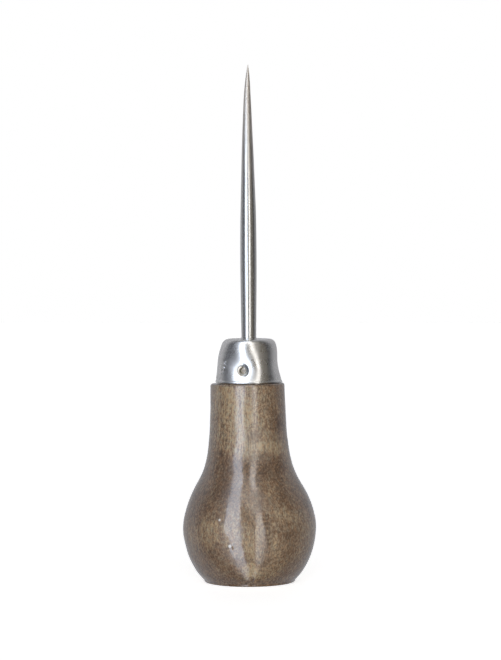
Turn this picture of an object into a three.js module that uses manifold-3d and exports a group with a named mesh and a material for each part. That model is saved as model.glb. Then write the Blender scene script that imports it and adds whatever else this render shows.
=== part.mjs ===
// Scratch awl, in millimetres, +Z up. It stands on the flat butt of its handle, with the centre of
// the butt at the origin and the point of the blade straight up.
//
//   blade    one piece of hard steel: ground point, bellied shank, and the square tang driven into the wood
//   ferrule  drawn steel cup pressed over the handle's spigot, locked by one punched stake that faces -Y
//   handle   turned hardwood bulb with a spigot for the ferrule and a blind hole that the tang fills
import * as THREE from "three";
import { mergeVertices } from "three/addons/utils/BufferGeometryUtils.js";
import Module from "manifold-3d";

// Driving dimensions.
const OVERALL_LENGTH = 165.5;
const SHOULDER_HEIGHT = 63.7; // top of the visible wood
const FERRULE_TOP = 78;
const CLEARANCE = 0.3; // between two pieces that touch on the real tool
const SHEET = 0.6; // wall of the drawn ferrule

// Handle.
const BUTT_EDGE = 0.7; // rounding of the butt's rim
const NECK_RADIUS = 11.85;
const NECK_EDGE = 0.65; // rounding of the wood's top rim
// The side from the butt's rim over the bulb and the waist to the neck, as [radius, height].
const SIDE = [
  [14.7, BUTT_EDGE],
  [16.7, 3],
  [17.9, 4.9],
  [19.85, 9.1],
  [20.97, 13.5],
  [21.3, 18],
  [20.28, 23.7],
  [18.29, 28.8],
  [15.47, 33.9],
  [13.62, 39.1],
  [12.6, 45],
  [12.1, 51.5],
  [11.9, 57.5],
  [NECK_RADIUS, SHOULDER_HEIGHT - NECK_EDGE],
];

// Ferrule.
const FERRULE_BOTTOM = SHOULDER_HEIGHT + CLEARANCE;
const LIP_RADIUS = 10.7; // flared mouth
const WALL_FOOT = [10.28, FERRULE_BOTTOM + 1.9]; // where the flare meets the tapered wall
const WALL_HEAD = [9.2, FERRULE_TOP - 3.8]; // where the wall meets the round shoulder
const FLARE_MIDDLE = [10.43, FERRULE_BOTTOM + 0.95];
const CROWN_RADIUS = 6.4; // edge of the flat top

// The stake, which is one punch mark in the ferrule's wall.
const STAKE_HEIGHT = 68.1;
const STAKE_MOUTH = 2.1; // radius of the mark at the wall
const STAKE_FLOOR = 1.2; // radius of its flat bottom
const STAKE_DEPTH = 1.1;
const STICK_OUT = 1; // how far the cutting shape starts outside the wall

// Blade, as [distance below the point, radius]. The shank has a slight belly above the ferrule.
const BLADE_BASE_RADIUS = 2.4;
const BLADE = [
  [1.4, 0.27],
  [4.4, 0.66],
  [9, 1.02],
  [19, 1.5],
  [28.5, 1.88],
  [38, 2.18],
  [47.5, 2.5],
  [56, 2.62],
  [65, 2.64],
  [75, 2.54],
];
const POINT_RADIUS = 0.05;

// Tang, inside the wood.
const SHANK_END = 71.5; // the round shank stops here
const SHANK_CHAMFER = 0.4;
const TANG_TOP = 73.5;
const TANG_END = 41.5;
const TANG_TOP_RADIUS = 2.25; // of the circle round its corners
const TANG_END_RADIUS = 1.3;
const TANG_TIP_RADIUS = 0.25;
const TANG_NOSE = 4; // length of the four-sided point below the tang

// Facets.
const ROUND_SIDES = 48;
const STAKE_SIDES = 24;
const BLADE_SIDES = 28;
const SQUARE = 4;
const SIDE_STEPS = 27;
const BLADE_STEPS = 30;
const FLARE_STEPS = 5;
const SHOULDER_STEPS = 8;
const EDGE_STEPS = 3;

const wasm = await Module();
wasm.setup();

// A closed three.js geometry as a manifold-3d solid.
function solid(geometry) {
  const bare = geometry.index ? geometry.toNonIndexed() : geometry.clone();
  bare.deleteAttribute("normal");
  bare.deleteAttribute("uv");
  const merged = mergeVertices(bare, 1e-4);
  return new wasm.Manifold(
    new wasm.Mesh({
      numProp: 3,
      vertProperties: merged.attributes.position.array,
      triVerts: new Uint32Array(merged.index.array),
    }),
  );
}

// A manifold-3d solid as a named three.js mesh.
function piece(name, made, colour, roughness, metalness) {
  const { numProp, numVert, vertProperties, triVerts } = made.getMesh();
  const positions = new Float32Array(numVert * 3);
  for (let i = 0; i < numVert; i++) {
    positions.set(vertProperties.subarray(i * numProp, i * numProp + 3), i * 3);
  }
  const geometry = new THREE.BufferGeometry();
  geometry.setAttribute("position", new THREE.BufferAttribute(positions, 3));
  geometry.setIndex(new THREE.BufferAttribute(triVerts, 1));
  geometry.computeVertexNormals();
  const mesh = new THREE.Mesh(
    geometry,
    new THREE.MeshStandardMaterial({ color: colour, roughness, metalness }),
  );
  mesh.name = name;
  return mesh;
}

// A profile of [radius, height] points turned about the Z axis.
function turned(profile, sides) {
  const points = profile.map(([radius, height]) => new THREE.Vector2(radius, height));
  return new THREE.LatheGeometry(points, sides).rotateX(Math.PI / 2);
}

// An outline closed along its bottom and its top to the axis.
function closed(outline) {
  return [[0, outline[0][1]], ...outline, [0, outline.at(-1)[1]]];
}

// Points of the smooth curve through the given ones.
function smooth(points, steps) {
  const curve = new THREE.SplineCurve(points.map(([x, y]) => new THREE.Vector2(x, y)));
  return curve.getPoints(steps).map(({ x, y }) => [x, y]);
}

// Points of an elliptical arc, from one angle to another, in degrees from outwards.
function arc([centreRadius, centreHeight], across, up, from, to, steps) {
  const start = THREE.MathUtils.degToRad(from);
  const end = THREE.MathUtils.degToRad(to);
  const curve = new THREE.EllipseCurve(centreRadius, centreHeight, across, up, start, end);
  return curve.getPoints(steps).map(({ x, y }) => [x, y]);
}

// An upright four-sided or round frustum on the Z axis, from one height down to another.
function frustum(topRadius, bottomRadius, top, bottom, sides) {
  return new THREE.CylinderGeometry(topRadius, bottomRadius, top - bottom, sides)
    .rotateX(Math.PI / 2)
    .translate(0, 0, (top + bottom) / 2);
}

// The tang with a margin all round, which is 0 for the steel and the clearance for the hole in the wood.
function tang(margin) {
  const corner = margin * Math.SQRT2;
  const top = TANG_TOP_RADIUS + corner;
  const end = TANG_END_RADIUS + corner;
  const tip = TANG_TIP_RADIUS + corner;
  const taper = frustum(top, end, TANG_TOP, TANG_END, SQUARE);
  const nose = frustum(end, tip, TANG_END, TANG_END - TANG_NOSE - margin, SQUARE);
  return solid(taper).add(solid(nose));
}

function blade() {
  const exposed = [[0, POINT_RADIUS], ...BLADE, [OVERALL_LENGTH - FERRULE_TOP, BLADE_BASE_RADIUS]];
  const spike = smooth(exposed, BLADE_STEPS)
    .reverse()
    .map(([below, radius]) => [radius, OVERALL_LENGTH - below]);
  const shankEnd = [
    [BLADE_BASE_RADIUS - SHANK_CHAMFER, SHANK_END],
    [BLADE_BASE_RADIUS, SHANK_END + SHANK_CHAMFER],
  ];
  return solid(turned(closed([...shankEnd, ...spike]), BLADE_SIDES)).add(tang(0));
}

// The stake: a blunt punch mark square to the ferrule's wall, grown by a margin. It points along +Y.
function stake(margin) {
  const [footRadius, footHeight] = WALL_FOOT;
  const [headRadius, headHeight] = WALL_HEAD;
  const slope = Math.atan2(footRadius - headRadius, headHeight - footHeight);
  const share = (STAKE_HEIGHT - footHeight) / (headHeight - footHeight);
  const wallRadius = THREE.MathUtils.lerp(footRadius, headRadius, share);
  const spread = ((STAKE_MOUTH - STAKE_FLOOR) / STAKE_DEPTH) * STICK_OUT;
  const mouth = STAKE_MOUTH + spread + margin;
  const floor = STAKE_FLOOR + margin;
  const length = STAKE_DEPTH + margin + STICK_OUT;
  const cone = new THREE.CylinderGeometry(floor, mouth, length, STAKE_SIDES)
    .translate(0, length / 2 - STICK_OUT, 0)
    .rotateX(-slope)
    .translate(0, -wallRadius, STAKE_HEIGHT);
  return solid(cone);
}

// The ferrule's flared mouth, moved inwards by a margin.
function flare(margin) {
  const outside = [[LIP_RADIUS, FERRULE_BOTTOM], FLARE_MIDDLE, WALL_FOOT];
  return smooth(outside, FLARE_STEPS).map(([radius, height]) => [radius - margin, height]);
}

// The ferrule's wall above the flare and its round shoulder, moved inwards by a margin.
function wallAndShoulder(margin) {
  const [headRadius, headHeight] = WALL_HEAD;
  const middle = [(WALL_FOOT[0] + headRadius) / 2 - margin, (WALL_FOOT[1] + headHeight) / 2];
  const across = headRadius - CROWN_RADIUS - margin;
  const up = FERRULE_TOP - headHeight - margin;
  return [middle, ...arc([CROWN_RADIUS, headHeight], across, up, 0, 90, SHOULDER_STEPS)];
}

function ferrule() {
  const hole = BLADE_BASE_RADIUS + CLEARANCE;
  const outside = [...flare(0), ...wallAndShoulder(0), [hole, FERRULE_TOP]];
  const inside = [...flare(SHEET), ...wallAndShoulder(SHEET), [hole, FERRULE_TOP - SHEET]].reverse();
  const cup = solid(turned([...outside, ...inside, outside[0]], ROUND_SIDES));
  const middle = closed([...flare(SHEET / 2), ...wallAndShoulder(SHEET / 2)]);
  const pushedIn = stake(SHEET).intersect(solid(turned(middle, ROUND_SIDES)));
  return cup.add(pushedIn).subtract(stake(0));
}

function handle() {
  const margin = SHEET + CLEARANCE;
  const buttRadius = SIDE[0][0];
  const neckEdge = [NECK_RADIUS - NECK_EDGE, SHOULDER_HEIGHT - NECK_EDGE];
  const outline = [
    [buttRadius - BUTT_EDGE, 0],
    [buttRadius - BUTT_EDGE / 4, BUTT_EDGE / 4],
    ...smooth(SIDE, SIDE_STEPS),
    ...arc(neckEdge, NECK_EDGE, NECK_EDGE, 22.5, 90, EDGE_STEPS),
    [LIP_RADIUS - margin, SHOULDER_HEIGHT],
    [WALL_FOOT[0] - margin, WALL_FOOT[1]],
    ...wallAndShoulder(margin),
  ];
  const holeRadius = BLADE_BASE_RADIUS + CLEARANCE;
  const hole = frustum(holeRadius, holeRadius, FERRULE_TOP, SHANK_END - CLEARANCE, BLADE_SIDES);
  return solid(turned(closed(outline), ROUND_SIDES))
    .subtract(solid(hole))
    .subtract(tang(CLEARANCE))
    .subtract(stake(margin));
}

const awl = new THREE.Group();
awl.add(
  piece("blade", blade(), 0xb9bab6, 0.22, 1),
  piece("ferrule", ferrule(), 0xc6c7c3, 0.3, 1),
  piece("handle", handle(), 0x7c6650, 0.3, 0),
);

export default awl;
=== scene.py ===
"""Scratch awl: the looks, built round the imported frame.

Lengths are in millimetres and turn into metres where a mesh or the camera is made. Azimuths are in
degrees from the camera's side of the awl, and positive to its right, unless a comment says otherwise.
"""

import math

import bpy
import numpy as np
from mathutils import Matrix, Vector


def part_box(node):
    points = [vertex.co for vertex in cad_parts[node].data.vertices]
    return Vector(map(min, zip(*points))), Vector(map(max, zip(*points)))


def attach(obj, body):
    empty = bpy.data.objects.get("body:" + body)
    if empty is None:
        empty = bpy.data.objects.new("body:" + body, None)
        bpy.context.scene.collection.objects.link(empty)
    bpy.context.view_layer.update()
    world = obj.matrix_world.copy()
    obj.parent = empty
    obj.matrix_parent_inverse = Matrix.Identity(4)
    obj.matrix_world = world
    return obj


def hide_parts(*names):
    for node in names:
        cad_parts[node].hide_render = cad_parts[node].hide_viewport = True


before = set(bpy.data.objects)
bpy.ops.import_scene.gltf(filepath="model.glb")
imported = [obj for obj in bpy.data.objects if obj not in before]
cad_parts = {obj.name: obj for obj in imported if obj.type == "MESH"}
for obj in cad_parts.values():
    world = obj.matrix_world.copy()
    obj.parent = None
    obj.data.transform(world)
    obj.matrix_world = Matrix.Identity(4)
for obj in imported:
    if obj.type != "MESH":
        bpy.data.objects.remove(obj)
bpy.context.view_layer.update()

METRES = 0.001

# ---------------------------------------------------------------- frame

handle_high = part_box("handle")[1] / METRES
ferrule_low, ferrule_high = (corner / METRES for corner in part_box("ferrule"))
blade_low, blade_high = (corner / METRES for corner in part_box("blade"))

POINT = blade_high.z
TANG_TIP = blade_low.z
FERRULE_BOTTOM = ferrule_low.z
FERRULE_TOP = ferrule_high.z
LIP_RADIUS = ferrule_high.x
BULB_RADIUS = handle_high.x
SPIGOT_TOP = handle_high.z
GAP = 0.3  # below the ferrule's lip, and round the tang
SHOULDER = FERRULE_BOTTOM - GAP

# ---------------------------------------------------------------- camera

CAMERA_AZIMUTH = 10.5  # degrees from -Y towards +X
CAMERA_DISTANCE = 781
CAMERA_HEIGHT = 104.3
TARGET_HEIGHT = 80.7
TARGET_RIGHT = 0.6
CAMERA_ROLL = -0.27
LENS = 133.1
SENSOR = 36

camera_angle = math.radians(CAMERA_AZIMUTH)
towards_camera = np.array([math.sin(camera_angle), -math.cos(camera_angle), 0])
camera_right = np.array([-towards_camera[1], towards_camera[0], 0])


def make_camera():
    data = bpy.data.cameras.new("camera")
    data.lens = LENS
    data.sensor_width = SENSOR
    camera = bpy.data.objects.new("camera", data)
    bpy.context.scene.collection.objects.link(camera)
    place = towards_camera * CAMERA_DISTANCE + [0, 0, CAMERA_HEIGHT]
    target = camera_right * TARGET_RIGHT + [0, 0, TARGET_HEIGHT]
    look = Vector(target - place)
    turn = look.to_track_quat("-Z", "Y").to_matrix().to_4x4()
    roll = Matrix.Rotation(math.radians(CAMERA_ROLL), 4, "Z")
    camera.matrix_world = Matrix.Translation(Vector(place) * METRES) @ turn @ roll
    bpy.context.scene.camera = camera


# ---------------------------------------------------------------- outlines


def spline(points, steps):
    """Points of the natural cubic curve through the given ones, evenly spaced along it."""
    points = np.array(points, float)
    gaps = np.linalg.norm(np.diff(points, axis=0), axis=1)
    at = np.concatenate([[0], np.cumsum(gaps)])
    count = len(points)
    system = np.eye(count)
    slopes = np.zeros_like(points)
    for i in range(1, count - 1):
        system[i, i - 1 : i + 2] = gaps[i - 1], 2 * (gaps[i - 1] + gaps[i]), gaps[i]
        ahead = (points[i + 1] - points[i]) / gaps[i]
        behind = (points[i] - points[i - 1]) / gaps[i - 1]
        slopes[i] = 6 * (ahead - behind)
    bends = np.linalg.solve(system, slopes)
    where = np.linspace(0, at[-1], steps + 1)
    span = np.clip(np.searchsorted(at, where, side="right") - 1, 0, count - 2)
    width = gaps[span][:, None]
    after = ((where - at[span]) / gaps[span])[:, None]
    before = 1 - after
    straight = before * points[span] + after * points[span + 1]
    curved = (before**3 - before) * bends[span] + (after**3 - after) * bends[span + 1]
    return straight + curved * width**2 / 6


def arc(centre, radius, start, end, steps):
    """Points of an arc, from one angle to another, in degrees from outwards towards the top."""
    angles = np.radians(np.linspace(start, end, steps + 1))
    return np.array(centre) + radius * np.column_stack([np.cos(angles), np.sin(angles)])


def line(start, end, steps):
    """Points from start to end, with both ends."""
    return np.linspace(start, end, steps + 1)


def outline(*stretches):
    """Stretches of [radius, height] points as one, without doubled points."""
    joined = np.vstack([np.atleast_2d(stretch) for stretch in stretches])
    moved = np.linalg.norm(np.diff(joined, axis=0), axis=1) > 1e-6
    return joined[np.concatenate([[True], moved])]


# ---------------------------------------------------------------- meshes


SHARP_ANGLE = 40  # degrees between faces that makes an edge
RIPPLE_WAVES = 24


def azimuths(count, dense_at, density):
    """Angles round the axis, in radians from +X, closer together round one azimuth from the camera."""
    even = np.linspace(0, 2 * math.pi, count, endpoint=False)
    crowded = even - density * np.sin(even)
    return crowded + math.radians(dense_at + CAMERA_AZIMUTH - 90)


def camera_azimuth(points):
    """Each point's azimuth in degrees from the camera's side, positive to its right."""
    flat = points.reshape(-1, 3)
    angle = np.degrees(np.arctan2(flat @ camera_right, flat @ towards_camera))
    return angle.reshape(points.shape[:-1])


def turned(profile, angles, squareness=None):
    """Rings of points, one for each point of the profile. A squareness of 1 makes a ring a square."""
    radius, height = profile[:, :1], profile[:, 1:]
    square = np.zeros_like(radius) if squareness is None else np.array(squareness, float)[:, None]
    flattened = 1 / (np.abs(np.cos(angles)) + np.abs(np.sin(angles)))
    reach = radius * (1 - square + square * flattened)
    rise = np.broadcast_to(height, reach.shape)
    return np.stack([reach * np.cos(angles), reach * np.sin(angles), rise], axis=-1)


def ring_mesh(name, rings, looped=False):
    """A closed mesh over rings of points: capped at the axis, or looped back to its first ring."""
    count, around = rings.shape[:2]
    points = rings.reshape(-1, 3)
    ring = np.arange(count if looped else count - 1)[:, None]
    column = np.arange(around)[None, :]
    beside = (column + 1) % around
    lower = ring * around
    upper = (ring + 1) % count * around
    corners = [lower + column, lower + beside, upper + beside, upper + column]
    faces = np.stack(np.broadcast_arrays(*corners), axis=-1).reshape(-1, 4).tolist()
    if not looped:
        first, last = len(points), len(points) + 1
        points = np.vstack([points, rings[0].mean(axis=0), rings[-1].mean(axis=0)])
        start = (count - 1) * around
        for j in range(around):
            k = (j + 1) % around
            faces.append([first, k, j])
            faces.append([last, start + j, start + k])
    mesh = bpy.data.meshes.new(name)
    mesh.from_pydata((points * METRES).tolist(), [], faces)
    mesh.shade_smooth()
    mesh.set_sharp_from_angle(angle=math.radians(SHARP_ANGLE))
    mesh.update()
    piece = bpy.data.objects.new(name, mesh)
    bpy.context.scene.collection.objects.link(piece)
    return piece


def ripple(points, wavelength, seed):
    """Smooth random waves over space, of about unit height."""
    random = np.random.default_rng(seed)
    directions = random.normal(size=(RIPPLE_WAVES, 3))
    directions /= np.linalg.norm(directions, axis=1)[:, None]
    pace = 2 * math.pi / (wavelength * random.uniform(0.7, 1.5, RIPPLE_WAVES))
    phases = random.uniform(0, 2 * math.pi, RIPPLE_WAVES)
    heights = np.sin(points @ (directions * pace[:, None]).T + phases)
    return heights.sum(axis=-1) * math.sqrt(2 / RIPPLE_WAVES)


def smoothstep(value, low, high):
    """0 below the low value and 1 above the high one, with a smooth step between them."""
    share = np.clip((value - low) / (high - low), 0, 1)
    return share * share * (3 - 2 * share)


def bump(distance, width):
    """1 at no distance and fading to 0, with the given width."""
    return np.exp(-((distance / width) ** 2))


def push_out(points, amount):
    """Moves points away from the axis by an amount each."""
    radius = np.linalg.norm(points[..., :2], axis=-1, keepdims=True)
    outwards = points[..., :2] / np.maximum(radius, 1e-9)
    moved = points.copy()
    moved[..., :2] += outwards * amount[..., None]
    return moved


def spots(points, places, skin_radius):
    """How far small round spots stand out, given as azimuth, height, radius and how far each does."""
    total = np.zeros(points.shape[:-1])
    for azimuth, height, width, amount in places:
        along = np.radians(camera_azimuth(points) - azimuth) * skin_radius
        total += amount * bump(np.hypot(along, points[..., 2] - height), width)
    return total


# ---------------------------------------------------------------- ferrule

SHEET = 0.6
RIM_HEIGHT = 0.55  # of the trimmed band at the mouth
RIM_STEP = 0.2  # from the band in to the wall
CROWN_RADIUS = 5.6  # edge of the flat top
BLADE_HOLE = 2.45
HOLE_EDGE = 0.2  # rounding of the hole in the crown
# The wall from the band to the flat top, as [radius, height above the mouth].
WALL = [
    [LIP_RADIUS - 0.27, 0.95],
    [10.28, 1.9],
    [9.95, 3.8],
    [9.59, 7],
    [9.24, 10.1],
    [8.91, 11.5],
    [8.4, 12.8],
    [7.5, 13.65],
    [6.5, 13.93],
    [CROWN_RADIUS, FERRULE_TOP - FERRULE_BOTTOM],
]
SHOULDER_START = 5  # the row of WALL where the round shoulder begins
FERRULE_COLUMNS = 320
COLUMNS_AT_STAKE = 0.7  # how closely the columns crowd there

# The stake that locks the ferrule: one blunt punch mark, in a wide dent that the blow left in the wall.
STAKE_AZIMUTH = -CAMERA_AZIMUTH  # it faces -Y
STAKE_HEIGHT = 68.05
STAKE_MOUTH = 2.3
STAKE_MOUTH_RIGHT = 0.03  # of the floor's centre
STAKE_MOUTH_UP = 0.22
STAKE_FLOOR = 0.85
STAKE_DEPTH = 0.85
STAKE_CURVE = 1.4  # how its side curves: 1 is straight
STAKE_SLOPE_RIGHT = 0.12  # its floor is deeper towards the right
STAKE_SLOPE_UP = -0.1  # and towards its lower end
WALL_RADIUS = 9.9  # at the stake
DENT_DEPTH = 2.0
DENT_CENTRE = 69.05
DENT_SHIFT = 2.3  # from the stake, along the wall
DENT_SLANT = 0.34  # further along for each unit up
DENT_LEFT = 5.2
DENT_RIGHT = 5.85
DENT_UP = 6
DENT_DOWN = 5.4
SKEW = 20  # degrees that the dent's middle is turned by
SKEW_HEIGHT = 70.3
SKEW_WIDTH = 7
SKEW_SPREAD = 4.6

LEAN = 0.58  # the pressed cup bulges to one side
LEAN_BACK = 0.14
LEAN_HEIGHT = 70.3
LEAN_UP = 4.4
LEAN_DOWN = 5.2

# Nicks in the plating and the fold at the mouth, as azimuth, height, radius, and how far they stand out.
NICKS = [
    (-52, 70.8, 0.28, -0.2),
    (-57, 70.2, 0.3, 0.25),
    (-53, 69.8, 0.22, 0.16),
    (-56, 68.9, 0.3, 0.25),
    (-60, 68.2, 0.26, -0.2),
    (-57, 67.4, 0.26, 0.2),
    (31, 73.9, 0.18, -0.06),
    (38, 72.3, 0.16, -0.06),
]
NICKED_RADIUS = 9.6  # of the wall at the nicks
FOLD = [(-78, 65.7, 0.9, 0.34), (-71, 64.6, 0.5, 0.2), (-66, 65.6, 0.4, 0.14), (-63, 66.9, 0.4, 0.08)]
FOLDED_RADIUS = 10.4  # of the wall at the fold


def ferrule_outside():
    """The ferrule's outline from its mouth to the edge of the hole for the blade."""
    rim_top = FERRULE_BOTTOM + RIM_HEIGHT
    band = outline(
        arc([LIP_RADIUS - 0.15, FERRULE_BOTTOM + 0.15], 0.15, -90, 0, 4),
        line([LIP_RADIUS, FERRULE_BOTTOM + 0.2], [LIP_RADIUS, rim_top - 0.1], 4),
        arc([LIP_RADIUS - 0.1, rim_top - 0.1], 0.1, 0, 80, 4),
        [LIP_RADIUS - RIM_STEP, rim_top + 0.1],
    )
    wall = spline([[radius, FERRULE_BOTTOM + height] for radius, height in WALL], 150)
    crown = line([CROWN_RADIUS, FERRULE_TOP], [BLADE_HOLE + HOLE_EDGE, FERRULE_TOP], 6)
    hole = arc([BLADE_HOLE + HOLE_EDGE, FERRULE_TOP - HOLE_EDGE], HOLE_EDGE, 90, 180, 5)
    return outline(band, wall, crown, hole)


def ferrule_inside(margin):
    """The outline inside the wall, from the mouth to the flat under the crown."""
    upright = WALL[: SHOULDER_START + 1]
    wall = spline([[radius - margin, FERRULE_BOTTOM + height] for radius, height in upright], 40)
    across = upright[-1][0] - CROWN_RADIUS - margin
    start = FERRULE_BOTTOM + upright[-1][1]
    rise = FERRULE_TOP - margin - start
    angles = np.radians(np.linspace(10, 90, 9))
    shoulder = np.column_stack([CROWN_RADIUS + across * np.cos(angles), start + rise * np.sin(angles)])
    return outline([WALL[0][0] - margin, FERRULE_BOTTOM], wall, shoulder)


def dent_depth(along, height):
    """How far the wall is pushed in round the stake, at a distance along it from the stake."""
    up = height - DENT_CENTRE
    beside = along - DENT_SHIFT - DENT_SLANT * up
    width = np.where(beside < 0, DENT_LEFT, DENT_RIGHT)
    spread = np.where(up < 0, DENT_DOWN, DENT_UP)
    dent = DENT_DEPTH * bump(up, spread) * bump(beside, width)
    skew = math.tan(math.radians(SKEW)) * along * bump(along, SKEW_WIDTH)
    return dent - skew * bump(height - SKEW_HEIGHT, SKEW_SPREAD)


def pressed_in(along, height):
    """How far the dent and the stake in it push the wall in."""
    up = height - STAKE_HEIGHT
    floor = STAKE_DEPTH + STAKE_SLOPE_RIGHT * along + STAKE_SLOPE_UP * up
    from_floor = np.maximum(np.hypot(along, up) - STAKE_FLOOR, 0)
    from_mouth = np.maximum(STAKE_MOUTH - np.hypot(along - STAKE_MOUTH_RIGHT, up - STAKE_MOUTH_UP), 0)
    share = from_mouth / (from_floor + from_mouth + 1e-9)
    return dent_depth(along, height) + floor * share**STAKE_CURVE


def pressed(points):
    """The ferrule's wall, or the wood inside it, with the lean, the dent and the stake."""
    height = points[..., 2]
    along = np.radians(camera_azimuth(points) - STAKE_AZIMUTH) * WALL_RADIUS
    moved = push_out(points, -pressed_in(along, height))
    spread = np.where(height < LEAN_HEIGHT, LEAN_DOWN, LEAN_UP)
    lean = LEAN_BACK - LEAN * bump(height - LEAN_HEIGHT, spread)
    return moved + lean[..., None] * camera_right


def make_ferrule():
    outside = ferrule_outside()
    inside = ferrule_inside(SHEET)
    ceiling = FERRULE_TOP - SHEET
    under_crown = line([CROWN_RADIUS - 0.4, ceiling], [BLADE_HOLE, ceiling], 4)
    profile = outline(outside, [BLADE_HOLE, ceiling], np.vstack([inside, under_crown])[::-1])
    angles = azimuths(FERRULE_COLUMNS, STAKE_AZIMUTH, COLUMNS_AT_STAKE)
    rings = turned(profile, angles)
    skin = rings[: len(outside)]
    relief = spots(skin, NICKS, NICKED_RADIUS) + spots(skin, FOLD, FOLDED_RADIUS)
    rings[: len(outside)] = push_out(skin, relief)
    return ring_mesh("ferrule_cup", pressed(rings), looped=True)


# ---------------------------------------------------------------- handle

BUTT_RADIUS = 14.7
BUTT_EDGE = 0.7
NECK_RADIUS = 12.08
NECK_EDGE = 0.8
# The side from the butt to the neck, as [radius, height].
SIDE = [
    [BUTT_RADIUS, BUTT_EDGE],
    [16.7, 3],
    [17.9, 4.9],
    [19.85, 9.1],
    [20.97, 13.5],
    [BULB_RADIUS, 18],
    [20.28, 23.7],
    [18.29, 28.8],
    [15.47, 33.9],
    [13.64, 39.1],
    [12.83, 45],
    [12.42, 51.5],
    [12.18, 57.5],
    [NECK_RADIUS, SHOULDER - NECK_EDGE],
]
NECK_STEP = 11  # radius of the first ring on the flat step inside the neck's rim
LEAN_START = 24  # the handle leans from this height up
NECK_LEAN = 0.48  # of the top of the neck, to the camera's left
NECK_TILT = 0.012  # of the top of the neck, which is at right angles to its lean
NECK_OVAL = 0.3  # the dried wood is out of round here
NECK_OVAL_AZIMUTH = 25
OVAL_START = 38.5  # from here up to the next height it grows to its full amount
OVAL_FULL = 47.5
HANDLE_COLUMNS = 288
COLUMNS_IN_FRONT = 0.6  # how closely the columns crowd there
FRONT_AZIMUTH = -10
SEAT = 1.2  # the relief fades over this height, so that the butt stays flat
LACQUER_WAVES = [(9, 0.028, 5), (4.5, 0.012, 6), (2.2, 0.0035, 7)]  # wavelength, height, seed
# Raised specks in the lacquer, as azimuth, height, radius, and how far they stand out. The wood's material
# paints each one whitish, a painted glint.
NIBS = [(-26.9, 21.7, 0.26, 0.12), (-17.4, 13.6, 0.3, 0.14)]
DENTS = [(-15.6, 13, 0.4, -0.12), (3.3, 2.8, 0.4, -0.15)]
SPECKED_RADIUS = 20.5  # of the bulb at the specks and dents

# Tang.
SHANK_END = 71.5
TANG_END = 41.5
TANG_TOP_RADIUS = 2.2
TANG_END_RADIUS = 1.3
TANG_TIP_RADIUS = 0.25


def tang_outline(margin):
    """The square tang from its top to its tip, grown by a margin."""
    corner = margin * math.sqrt(2)
    return outline(
        line([TANG_TOP_RADIUS + corner, SHANK_END - margin], [TANG_END_RADIUS + corner, TANG_END], 12),
        line([TANG_END_RADIUS + corner, TANG_END], [TANG_TIP_RADIUS + corner, TANG_TIP - margin], 3),
    )


def handle_outside():
    """The lacquered outline, from the middle of the butt to the rim of the neck."""
    edge = arc([BUTT_RADIUS - BUTT_EDGE, BUTT_EDGE], BUTT_EDGE, -90, -35, 5)
    butt = outline([[0.5, 0], [5, 0], [10, 0]], edge)
    side = spline(SIDE, 230)
    rim = arc([NECK_RADIUS - NECK_EDGE, SHOULDER - NECK_EDGE], NECK_EDGE, 0, 90, 8)
    return outline(butt, side, rim)


def handle_inside(bore):
    """The rest of the outline: the step inside the rim, the spigot, and the hole down to its bore."""
    spigot = ferrule_inside(SHEET + GAP)
    spigot[0, 1] = SHOULDER
    bore_radius = BLADE_HOLE + GAP
    return outline(
        line([NECK_STEP, SHOULDER], [spigot[0, 0] + 0.2, SHOULDER], 2),
        spigot,
        [CROWN_RADIUS - 1, SPIGOT_TOP],
        [bore_radius, SPIGOT_TOP],
        [bore_radius, SHANK_END - GAP],
        bore,
    )


def lacquer_relief(skin):
    """How far the lacquered skin stands out from its turned outline."""
    relief = sum(height * ripple(skin, length, seed) for length, height, seed in LACQUER_WAVES)
    relief += spots(skin, NIBS + DENTS, SPECKED_RADIUS)
    twice = np.radians(2 * (camera_azimuth(skin) - NECK_OVAL_AZIMUTH))
    relief += NECK_OVAL * np.cos(twice) * smoothstep(skin[..., 2], OVAL_START, OVAL_FULL)
    return relief * smoothstep(skin[..., 2], 0, SEAT)


def leaned(rings):
    """The rings up to the neck, leaning to the camera's left and tilted to match."""
    rise = np.clip((rings[..., 2] - LEAN_START) / (SHOULDER - LEAN_START), 0, 1)
    moved = rings.copy()
    moved[..., 2] += NECK_TILT * (rings @ camera_right) * rise**4
    return moved - (NECK_LEAN * rise)[..., None] * camera_right


def make_handle():
    lacquered = handle_outside()
    bore = tang_outline(GAP)
    profile = outline(lacquered, handle_inside(bore))
    row = np.arange(len(profile))
    squareness = np.where(row >= len(profile) - len(bore), 1.0, 0.0)
    angles = azimuths(HANDLE_COLUMNS, FRONT_AZIMUTH, COLUMNS_IN_FRONT)
    rings = turned(profile, angles, squareness)
    spigot = (row >= len(lacquered)) & (profile[:, 0] > CROWN_RADIUS - 1.5)
    rings[spigot] = pressed(rings[spigot])
    skin = rings[: len(lacquered)]
    rings[: len(lacquered)] = push_out(skin, lacquer_relief(skin))
    leaning = len(lacquered) + 2  # the first two rings of the step go with the rim
    rings[:leaning] = leaned(rings[:leaning])
    return ring_mesh("turned_handle", rings)


# ---------------------------------------------------------------- blade

BASE_RADIUS = 2.37
TIP_RADIUS = 0.04
# The spike, as [radius, distance below the point].
SPIKE = [
    [TIP_RADIUS, 0],
    [0.27, 1.4],
    [0.66, 4.4],
    [1.02, 9],
    [1.5, 19],
    [1.88, 28.5],
    [2.18, 38],
    [2.46, 47.5],
    [2.57, 56],
    [2.59, 65],
    [2.5, 75],
    [BASE_RADIUS, 88],
    [BASE_RADIUS, 92],
]
BLADE_COLUMNS = 96
# How the blade strays to the camera's right, as (height, distance): it bows a little to the left
# near its end, and its point is ground back to the right.
STRAY = [(78, 0.05), (120, 0.05), (145, -0.1), (156, -0.1), (POINT, 0.15)]


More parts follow.
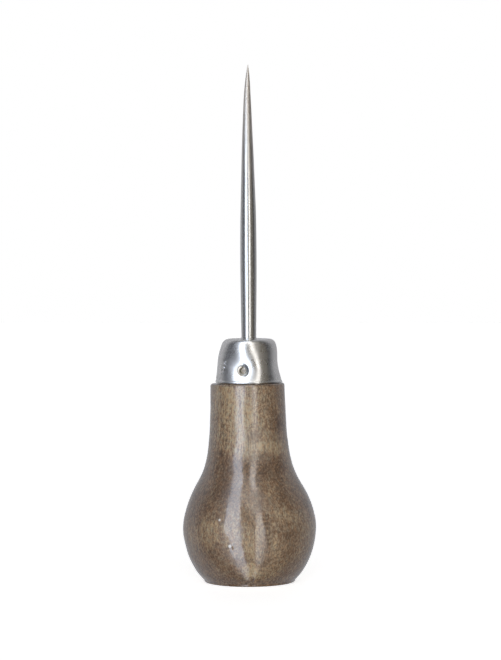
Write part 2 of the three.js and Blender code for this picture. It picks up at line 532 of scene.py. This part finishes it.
def make_blade():
    spike = spline([[radius, POINT - below] for radius, below in SPIKE], 420)[::-1]
    tang = tang_outline(0)[::-1]
    shank = line([BASE_RADIUS - 0.35, SHANK_END + 0.1], [BASE_RADIUS, SHANK_END + 0.6], 1)
    profile = outline(tang, shank, spike)
    squareness = np.where(np.arange(len(profile)) < len(tang), 1.0, 0.0)
    angles = azimuths(BLADE_COLUMNS, 90 - CAMERA_AZIMUTH, 0)  # the tang's corners lie on the axes
    rings = turned(profile, angles, squareness)
    heights, distances = np.array(STRAY, float).T
    shift = np.interp(rings[..., 2], heights, distances)
    return ring_mesh("awl_blade", rings + shift[..., None] * camera_right)


# ---------------------------------------------------------------- materials


def new_material(name):
    material = bpy.data.materials.new(name)
    material.use_nodes = True
    material.node_tree.nodes.clear()
    return material, material.node_tree


def node(tree, kind, inputs, **settings):
    """Adds a node. Each input is a value, or another node's socket to link it to."""
    made = tree.nodes.new(kind)
    for name, value in settings.items():
        setattr(made, name, value)
    for key, value in inputs.items():
        if isinstance(value, bpy.types.NodeSocket):
            tree.links.new(value, made.inputs[key])
        else:
            made.inputs[key].default_value = value
    return made


def maths(tree, operation, *values):
    return node(tree, "ShaderNodeMath", dict(enumerate(values)), operation=operation).outputs[0]


def vectors(tree, operation, *values, gives="Vector"):
    """Vector maths on the values. Some operations give a number, as their output named Value."""
    return node(tree, "ShaderNodeVectorMath", dict(enumerate(values)), operation=operation).outputs[gives]


def scaled(tree, vector, scale):
    """A vector times a scale along each axis."""
    return vectors(tree, "MULTIPLY", vector, scale)


def noise(tree, vector, scale, detail=2.0, roughness=0.5):
    """Noise from 0 to 1 over a vector in millimetres. The scale is in waves per millimetre, by axis."""
    inputs = {"Vector": scaled(tree, vector, scale), "Scale": 1.0, "Detail": detail, "Roughness": roughness}
    return node(tree, "ShaderNodeTexNoise", inputs).outputs["Fac"]


def between(tree, value, low, high, to_low=0.0, to_high=1.0):
    """A value from low to high as a smooth step from to_low to to_high."""
    inputs = {"Value": value, "From Min": low, "From Max": high, "To Min": to_low, "To Max": to_high}
    return node(tree, "ShaderNodeMapRange", inputs, interpolation_type="SMOOTHSTEP").outputs["Result"]


def colours(tree, value, stops):
    """A value as a colour between stops of [place, (red, green, blue)]."""
    made = node(tree, "ShaderNodeValToRGB", {"Fac": value})
    elements = made.color_ramp.elements
    while len(elements) < len(stops):
        elements.new(0.5)
    for element, (place, colour) in zip(elements, stops):
        element.position = place
        element.color = (*colour, 1)
    return made.outputs["Color"]


def blended(tree, share, first, second):
    """The first colour, turning into the second as the share goes from 0 to 1."""
    return node(tree, "ShaderNodeMix", {0: share, 6: first, 7: second}, data_type="RGBA").outputs[2]


def object_millimetres(tree):
    place = node(tree, "ShaderNodeTexCoord", {}).outputs["Object"]
    return scaled(tree, place, (1 / METRES,) * 3)


def finish_material(tree, **inputs):
    """A Principled surface with the given inputs, as the material's output."""
    named = {name.replace("_", " ").title().replace("Ior", "IOR"): value for name, value in inputs.items()}
    surface = node(tree, "ShaderNodeBsdfPrincipled", named)
    node(tree, "ShaderNodeOutputMaterial", {"Surface": surface.outputs[0]})


# The wood's figure, as (azimuth, height, half width, half height, tone): lighter and darker patches. The dark
# patches on the flanks, near 55 degrees to either side, are painted shade where the handle turns away from
# the light in front.
FIGURE_AND_SHADE_PATCHES = [
    (-36, 54, 8, 12, 0.2),
    # painted shade on the neck's left flank
    (-54, 50, 4, 8, -0.1),
    (22, 56, 5, 6, 0.06),
    (40, 52, 4, 3, -0.1),
    (50, 50.5, 2.2, 2.2, -0.18),
    # painted shade on the neck's right flank
    (56, 55, 6, 12, -0.1),
    (-3, 50, 1.9, 12, 0.16),
    (15, 44.2, 1.6, 1.4, 0.16),
    (30, 43.8, 5, 2.2, 0.16),
    (10, 44, 9, 2.6, 0.02),
    (54, 44, 4, 1.8, 0.08),
    (28, 38.7, 8, 3.8, -0.11),
    (-36, 38.5, 7, 4.4, -0.2),
    (-44, 29.5, 8, 4, -0.08),
    (20, 31, 3.6, 4, 0.12),
    (36, 23.2, 6, 2.2, 0.16),
    (22, 27, 3, 4, 0.1),
    (-38, 17.6, 9, 4, 0.14),
    # painted shade on the bulb's left flank
    (-56, 19, 3, 6, -0.1),
    (1.5, 14.2, 2.4, 5, 0.18),
    (39, 16.3, 3.4, 2.4, -0.14),
    (11.5, 12.5, 2.4, 7, -0.1),
    (19, 12.5, 3, 4, 0.1),
    (-37, 11.8, 6, 2, -0.08),
    (2, 5.5, 2.6, 3.5, 0.34),
    (22, 6, 4, 3, 0.18),
    (-32, 5.9, 4, 3, 0.08),
    (98, 42, 5, 4, -0.1),
    (112, 55, 6, 10, 0.15),
    (114, 17, 8, 4, 0.15),
    (126, 26, 6, 4, -0.12),
    (132, 44, 7, 2.4, 0.14),
    (141, 36, 7, 4, -0.14),
    (150, 11, 6, 3, -0.1),
    (156, 54, 4, 9, -0.12),
    (164, 25, 5, 5, 0.12),
    (178, 50, 4, 12, 0.16),
    (188, 37, 7, 4, -0.15),
    (197, 17, 8, 4, 0.15),
    (206, 55, 4, 9, -0.12),
    (214, 43.5, 6, 2.2, 0.15),
    (224, 7, 5, 3, 0.12),
    (229, 28, 6, 4, -0.12),
    (238, 53, 5, 11, 0.15),
    (247, 15, 7, 4, 0.14),
    (262, 38, 6, 4, -0.12),
]
# Where the grain shows as fine upright lines, as (azimuth, height, half width, half height, strength).
GRAINY = [
    (-38, 54, 9, 15, 1.1),
    (-42, 18, 9, 9, 0.7),
    (30, 44, 8, 3, 0.9),
    (4, 12, 4, 7, 0.8),
    (114, 54, 8, 13, 1),
    (132, 18, 9, 8, 0.7),
    (178, 50, 7, 13, 1),
    (198, 16, 9, 8, 0.7),
    (240, 52, 8, 14, 1),
    (250, 18, 9, 8, 0.7),
]
# The stain's colour, from dark to light.
WOOD_STOPS = [
    (0.05, (0.09, 0.052, 0.032)),
    (0.35, (0.183, 0.116, 0.071)),
    (0.6, (0.285, 0.194, 0.122)),
    (0.95, (0.49, 0.38, 0.24)),
]
# Small sharp marks in the wood, in the same way as the patches.
MARKS = [
    (15.5, 44.3, 0.62, 0.95, 0.3),
    (3, 44.6, 0.5, 0.6, 0.14),
    (44, 43.8, 0.25, 1.6, -0.28),
    (14, 35.8, 2.4, 0.16, -0.2),
    (16, 20.6, 0.5, 0.45, 0.22),
    (22, 20.4, 0.5, 0.5, 0.22),
    (3.3, 2.6, 0.4, 0.3, -0.5),
]
# Tints over the stain, from warmer fibres to cooler ones.
HUE_STOPS = [(0.3, (1.1, 0.98, 0.88)), (0.7, (0.9, 1.02, 1.12))]
# Where the lacquer is duller, in the same way.
DULL = [(0, 56, 12, 9, 0.05), (14, 44, 6, 6, 0.18), (10, 27.5, 5, 4, 0.18), (12, 10, 5, 6, 0.05)]
KNOT = (14.5, 18.2, 3.2, 4.2)  # azimuth, height, half width, half height
KNOT_RING = 1.5  # the distance from one of its rings to the next
PITH = (-62, 28, 0)  # the tree's centre beside the handle
RING_WIDTH = 2.6
# How light the wood is on the whole, and how much each part of its figure changes that.
MEAN_TONE = 0.55
END_GRAIN = -0.16
CLOUDS = 0.6
SPECKLE = 1.7
GRAIN = 1.3
GRAIN_ELSEWHERE = 0.3  # of its strength where GRAINY names no place
RINGS = 0.03
KNOT_RINGS = 0.16
# painted glint on the raised specks
NIB_GLINT_COLOUR = (0.85, 0.84, 0.82, 1)


def on_side(azimuth, height):
    """The point of the handle's side at an azimuth from the camera and a height."""
    radius = np.interp(height, [row[1] for row in SIDE], [row[0] for row in SIDE])
    angle = math.radians(azimuth)
    flat = radius * (math.cos(angle) * towards_camera + math.sin(angle) * camera_right)
    return (flat[0], flat[1], height)


def patch(tree, place, centre, half_width, half_height, softness=0.45):
    """1 inside an upright oval patch and 0 outside it, with an edge as soft as a share of its size."""
    offset = vectors(tree, "SUBTRACT", place, centre)
    reach = scaled(tree, offset, (1 / half_width, 1 / half_width, 1 / half_height))
    away = vectors(tree, "LENGTH", reach, gives="Value")
    return between(tree, away, 1 + softness, 1 - softness)


def added(tree, total, value, amount, middle=0.0):
    """A total plus an amount of how far a value is from its middle."""
    part = maths(tree, "MULTIPLY_ADD", value, amount, -middle * amount)
    return maths(tree, "ADD", total, part)


def warped(tree, place, wavelength, reach):
    """A place moved about by noise, which makes what is drawn there irregular."""
    inputs = {"Vector": scaled(tree, place, (1 / wavelength,) * 3), "Scale": 1.0, "Detail": 2.0}
    drift = node(tree, "ShaderNodeTexNoise", inputs).outputs["Color"]
    centred = vectors(tree, "SUBTRACT", drift, (0.5, 0.5, 0.5))
    return vectors(tree, "ADD", place, scaled(tree, centred, (reach,) * 3))


def patches(tree, place, listed):
    """The sum of patches given as azimuth, height, half width, half height and amount."""
    total = 0.0
    for azimuth, height, half_width, half_height, amount in listed:
        share = patch(tree, place, on_side(azimuth, height), half_width, half_height)
        total = added(tree, total, share, amount)
    return total


def end_grain(tree):
    """0 where the wood is cut along its grain, and up to 1 where the turned side slopes across it."""
    facing = node(tree, "ShaderNodeTexCoord", {}).outputs["Normal"]
    rise = node(tree, "ShaderNodeSeparateXYZ", {0: facing}).outputs["Z"]
    return between(tree, maths(tree, "ABSOLUTE", rise), 0.08, 0.5)


def upright_grain(tree, place, drawn):
    """Fine lines along the grain, about 0, and stronger in the places that GRAINY names."""
    lines = noise(tree, place, (2.3, 2.3, 0.1), detail=3, roughness=0.7)
    strength = maths(tree, "ADD", patches(tree, drawn, GRAINY), GRAIN_ELSEWHERE)
    centred = maths(tree, "SUBTRACT", lines, 0.5)
    return maths(tree, "MULTIPLY", centred, strength)


def waves(tree, distance, length):
    """Waves from -1 to 1 over a distance."""
    return maths(tree, "SINE", maths(tree, "MULTIPLY", distance, 2 * math.pi / length))


def year_rings(tree, drawn):
    from_pith = scaled(tree, vectors(tree, "SUBTRACT", drawn, PITH), (1, 1, 0))
    return waves(tree, vectors(tree, "LENGTH", from_pith, gives="Value"), RING_WIDTH)


def knot(tree, place):
    """The rings of the knot, which fade out round it."""
    azimuth, height, half_width, half_height = KNOT
    centre = on_side(azimuth, height)
    distance = vectors(tree, "DISTANCE", warped(tree, place, 2.5, 0.8), centre, gives="Value")
    share = patch(tree, place, centre, half_width, half_height)
    return maths(tree, "MULTIPLY", waves(tree, distance, KNOT_RING), share)


def wood_tone(tree, place):
    """How light the stained wood is, from 0 to 1."""
    drawn = warped(tree, place, 3.5, 5.0)
    tone = maths(tree, "MULTIPLY_ADD", end_grain(tree), END_GRAIN, MEAN_TONE)
    tone = added(tree, tone, noise(tree, place, (0.16, 0.16, 0.1), detail=3), CLOUDS, 0.5)
    speckle = noise(tree, warped(tree, place, 5.0, 3.0), (1.9, 1.9, 1.05), detail=2, roughness=0.7)
    tone = added(tree, tone, speckle, SPECKLE, 0.5)
    tone = added(tree, tone, upright_grain(tree, place, drawn), GRAIN)
    tone = added(tree, tone, year_rings(tree, drawn), RINGS)
    tone = added(tree, tone, knot(tree, place), KNOT_RINGS)
    # the wood's figure, with painted shade on the flanks
    tone = maths(tree, "ADD", tone, patches(tree, drawn, FIGURE_AND_SHADE_PATCHES))
    return maths(tree, "ADD", tone, patches(tree, place, MARKS))


def lacquered_wood():
    material, tree = new_material("lacquered_wood")
    place = object_millimetres(tree)
    stained = colours(tree, wood_tone(tree, place), WOOD_STOPS)
    hue = colours(tree, noise(tree, place, (1.2, 1.2, 0.9), detail=3), HUE_STOPS)
    colour = vectors(tree, "MULTIPLY", stained, hue)
    # painted glint: each raised speck turns whitish
    for azimuth, height, radius, _ in NIBS:
        share = patch(tree, place, on_side(azimuth, height), radius * 1.5, radius * 1.5)
        colour = blended(tree, share, colour, NIB_GLINT_COLOUR)
    smears = noise(tree, place, (0.22, 0.22, 0.12), detail=2)
    gloss = between(tree, smears, 0.3, 0.7, 0.09, 0.18)
    skin = noise(tree, place, (1.4, 1.4, 0.4), detail=2)
    dimples = node(tree, "ShaderNodeBump", {"Height": skin, "Strength": 1.0, "Distance": 0.006 * METRES})
    finish_material(
        tree,
        base_color=colour,
        roughness=0.5,
        specular_ior_level=0.15,
        coat_weight=1.0,
        coat_roughness=maths(tree, "ADD", gloss, patches(tree, place, DULL)),
        coat_ior=1.95,
        coat_normal=dimples.outputs["Normal"],
    )
    return material


# Tarnish and painted shade in the stake: the darker tints stand in for the punch mark's dark reflections. As
# (distance along the wall and above its middle, radius, tint), each over the last.
STAKE_TARNISH_AND_SHADE = [
    (0, 0.2, 2.25, (0.42, 0.39, 0.33)),
    (0.2, 0.32, 2.05, (0.8, 0.79, 0.77)),
    (0.95, 0.75, 0.85, (0.46, 0.47, 0.5)),
    (1.5, 0.1, 0.7, (0.46, 0.48, 0.53)),
    (0.1, 1.35, 0.55, (0.44, 0.44, 0.44)),
    (-0.25, 0, 1.15, (0.46, 0.43, 0.35)),
    (0.1, -0.05, 0.8, (0.6, 0.54, 0.48)),
]


def on_ferrule(along, up):
    """The point of the ferrule's skin at a distance along it and above the middle of the stake."""
    angle = math.radians(STAKE_AZIMUTH) + along / WALL_RADIUS
    height = STAKE_HEIGHT + up
    radius = np.interp(height - FERRULE_BOTTOM, [row[1] for row in WALL], [row[0] for row in WALL])
    flat = radius * (math.cos(angle) * towards_camera + math.sin(angle) * camera_right)
    return tuple(pressed(flat + [0, 0, height]))


def plated_steel():
    material, tree = new_material("plated_steel")
    place = object_millimetres(tree)
    speckle = noise(tree, place, (2.6, 2.6, 2.6), detail=3, roughness=0.7)
    colour = colours(tree, speckle, [(0.3, (0.7, 0.69, 0.67)), (0.6, (0.82, 0.81, 0.79))])
    # tarnish and painted shade in the punch mark
    for along, up, radius, tint in STAKE_TARNISH_AND_SHADE:
        share = patch(tree, place, on_ferrule(along, up), radius, radius, softness=0.15 / radius)
        colour = blended(tree, share, colour, (*tint, 1))
    drawn = noise(tree, place, (1.6, 1.6, 0.12), detail=2)
    smears = noise(tree, place, (0.3, 0.3, 0.3), detail=2)
    relief = added(tree, speckle, drawn, 0.5)
    skin = node(tree, "ShaderNodeBump", {"Height": relief, "Strength": 1.0, "Distance": 0.0022 * METRES})
    finish_material(
        tree,
        base_color=colour,
        roughness=between(tree, smears, 0.3, 0.7, 0.24, 0.32),
        metallic=1.0,
        normal=skin.outputs["Normal"],
    )
    return material


# The blade gets duller over this length below its point.
WORN_LENGTH = 48
WORN_COLOUR = (0.8, 0.73, 0.65, 1)
WORN_ROUGHNESS = 0.34  # more than further down
WORN_RELIEF = 0.4  # of the relief further down


def ground_steel():
    material, tree = new_material("ground_steel")
    place = object_millimetres(tree)
    height = node(tree, "ShaderNodeSeparateXYZ", {0: place}).outputs["Z"]
    marks = noise(tree, place, (3.2, 3.2, 0.09), detail=3, roughness=0.6)
    specks = noise(tree, place, (2.4, 2.4, 1.6), detail=2, roughness=0.7)
    relief = added(tree, marks, specks, 0.3)
    worn = between(tree, height, POINT - WORN_LENGTH, POINT)
    strength = between(tree, worn, 0.0, 1.0, 1.0, WORN_RELIEF)
    skin = node(tree, "ShaderNodeBump", {"Height": relief, "Strength": strength, "Distance": 0.0035 * METRES})
    bright = colours(tree, specks, [(0.3, (0.65, 0.645, 0.63)), (0.6, (0.8, 0.795, 0.775))])
    finish_material(
        tree,
        base_color=blended(tree, worn, bright, WORN_COLOUR),
        roughness=added(tree, between(tree, marks, 0.3, 0.7, 0.2, 0.28), worn, WORN_ROUGHNESS),
        metallic=1.0,
        specular_tint=(0.65, 0.65, 0.66, 1),
        normal=skin.outputs["Normal"],
    )
    return material


# ---------------------------------------------------------------- studio

# What the polished surfaces mirror, as (azimuth from the camera's side, strength, tint): two tall
# window-like lights left and right of the camera with a dark gap between them, the dim sides of the
# room, and the pale walls behind the awl.
WARM = (1.0, 0.98, 0.95)
COOL = (0.84, 0.94, 1.1)
SLATE = (0.92, 0.96, 1.08)
UMBER = (1.06, 0.97, 0.84)
WALLS = (0.97, 0.98, 1.03)
ROOM = [
    (-180, 0.5, WALLS),
    (-115, 0.5, WALLS),
    (-85, 0.1, SLATE),
    (-60, 0.2, SLATE),
    (-42, 0.6, SLATE),
    (-41, 2.6, COOL),
    (-16, 2.6, COOL),
    (-15, 0.4, UMBER),
    (0, 0.1, UMBER),
    (10, 0.3, UMBER),
    (11, 2.1, WARM),
    (24, 2.1, WARM),
    (25, 0.2, UMBER),
    (65, 0.15, UMBER),
    (85, 0.05, SLATE),
    (120, 0.4, WALLS),
    (180, 0.5, WALLS),
]
SLANT = 6  # degrees that the lights lean over, from level to straight up
# How the room changes with the upward part of a direction, as (from, to, value at each).
DRAWN_IN = (0.55, 0.9, 1.0, 0.8)  # azimuths near the top
DRAWN_OUT = (-0.6, -0.98, 1.0, 1.2)  # azimuths near the bottom
OVERHEAD = (0.45, 0.85, 0.0, 0.7)  # light added above the camera
FADING = (-0.98, -0.5, 0.55, 1.0)  # strength near the bottom
OVERHEAD_SIDES = (45, 20)  # azimuths where the light above the camera begins and is full
# The light that the wood and the floor get.
AMBIENT = 0.045
FROM_FRONT = 3.3
FROM_BEHIND = 2.2
FOCUS = 5.0  # how closely the light from the front and from behind keeps to the camera's line


def make_world():
    world = bpy.data.worlds.new("studio")
    bpy.context.scene.world = world
    world.use_nodes = True
    world.cycles.sampling_method = "NONE"
    tree = world.node_tree
    tree.nodes.clear()
    direction = node(tree, "ShaderNodeTexCoord", {}).outputs["Generated"]
    along = {}
    for name, axis in (("front", towards_camera), ("right", camera_right), ("up", (0, 0, 1))):
        along[name] = vectors(tree, "DOT_PRODUCT", direction, axis, gives="Value")
    mirrored = mirrored_room(tree, along)
    sided = between(tree, along["front"], -0.1, 0.1, FROM_BEHIND, FROM_FRONT)
    focused = maths(tree, "POWER", maths(tree, "ABSOLUTE", along["front"]), FOCUS)
    lit = maths(tree, "MULTIPLY_ADD", focused, sided, AMBIENT)
    lit = maths(tree, "MULTIPLY", lit, between(tree, along["up"], -0.7, 0.1, 0.5, 1.0))
    rays = node(tree, "ShaderNodeLightPath", {})
    seen = blended(tree, rays.outputs["Is Glossy Ray"], lit, mirrored)
    seen = blended(tree, rays.outputs["Is Camera Ray"], seen, (1, 1, 1, 1))
    background = node(tree, "ShaderNodeBackground", {"Color": seen, "Strength": 1.0})
    node(tree, "ShaderNodeOutputWorld", {"Surface": background.outputs[0]})


def mirrored_room(tree, along):
    """The room's colour in the direction that has the given parts along front, right and up."""
    angle = maths(tree, "ARCTAN2", along["right"], along["front"])
    narrow = between(tree, along["up"], *DRAWN_IN)
    spread = maths(tree, "MULTIPLY", between(tree, along["up"], *DRAWN_OUT), narrow)
    upright = maths(tree, "MULTIPLY", angle, spread)
    leaning = maths(tree, "MULTIPLY_ADD", along["up"], math.radians(SLANT), upright)
    share = maths(tree, "MULTIPLY_ADD", leaning, 1 / (2 * math.pi), 0.5)
    stops = [(azimuth / 360 + 0.5, [strength * part for part in tint]) for azimuth, strength, tint in ROOM]
    room = colours(tree, share, stops)
    above = between(tree, along["up"], *OVERHEAD)
    outer, inner = (math.radians(side) for side in OVERHEAD_SIDES)
    ahead = between(tree, maths(tree, "ABSOLUTE", angle), outer, inner)
    joined = vectors(tree, "ADD", room, maths(tree, "MULTIPLY", above, ahead))
    fading = between(tree, along["up"], *FADING)
    return node(tree, "ShaderNodeVectorMath", {0: joined, "Scale": fading}, operation="SCALE").outputs[0]


FLOOR_REACH = 3  # metres to each side
FLOOR_GLOW = 0.75  # which keeps it nearly white


def make_floor():
    mesh = bpy.data.meshes.new("floor")
    corners = [(across, deep, 0) for across, deep in ((-1, -1), (1, -1), (1, 1), (-1, 1))]
    mesh.from_pydata((np.array(corners) * FLOOR_REACH).tolist(), [], [(0, 1, 2, 3)])
    floor = bpy.data.objects.new("floor", mesh)
    bpy.context.scene.collection.objects.link(floor)
    material, tree = new_material("pale_floor")
    finish_material(
        tree,
        base_color=(0.95, 0.95, 0.95, 1),
        roughness=1.0,
        specular_ior_level=0.0,
        emission_color=(1, 1, 1, 1),
        emission_strength=FLOOR_GLOW,
    )
    mesh.materials.append(material)
    floor.visible_glossy = False
    floor.visible_diffuse = False


# ---------------------------------------------------------------- scene

PIECES = [
    # maker, CAD node, material slot, material
    (make_handle, "handle", "lacquered_wood", lacquered_wood()),
    (make_ferrule, "ferrule", "ferrule_plated_steel", plated_steel()),
    (make_blade, "blade", "blade_steel", ground_steel()),
]

make_camera()
make_world()
make_floor()
for make, cad_node, slot, material in PIECES:
    piece = make()
    piece.data.materials.append(material)
    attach(piece, "root")
    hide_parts(cad_node)

bpy.context.scene.view_settings.view_transform = "Standard"
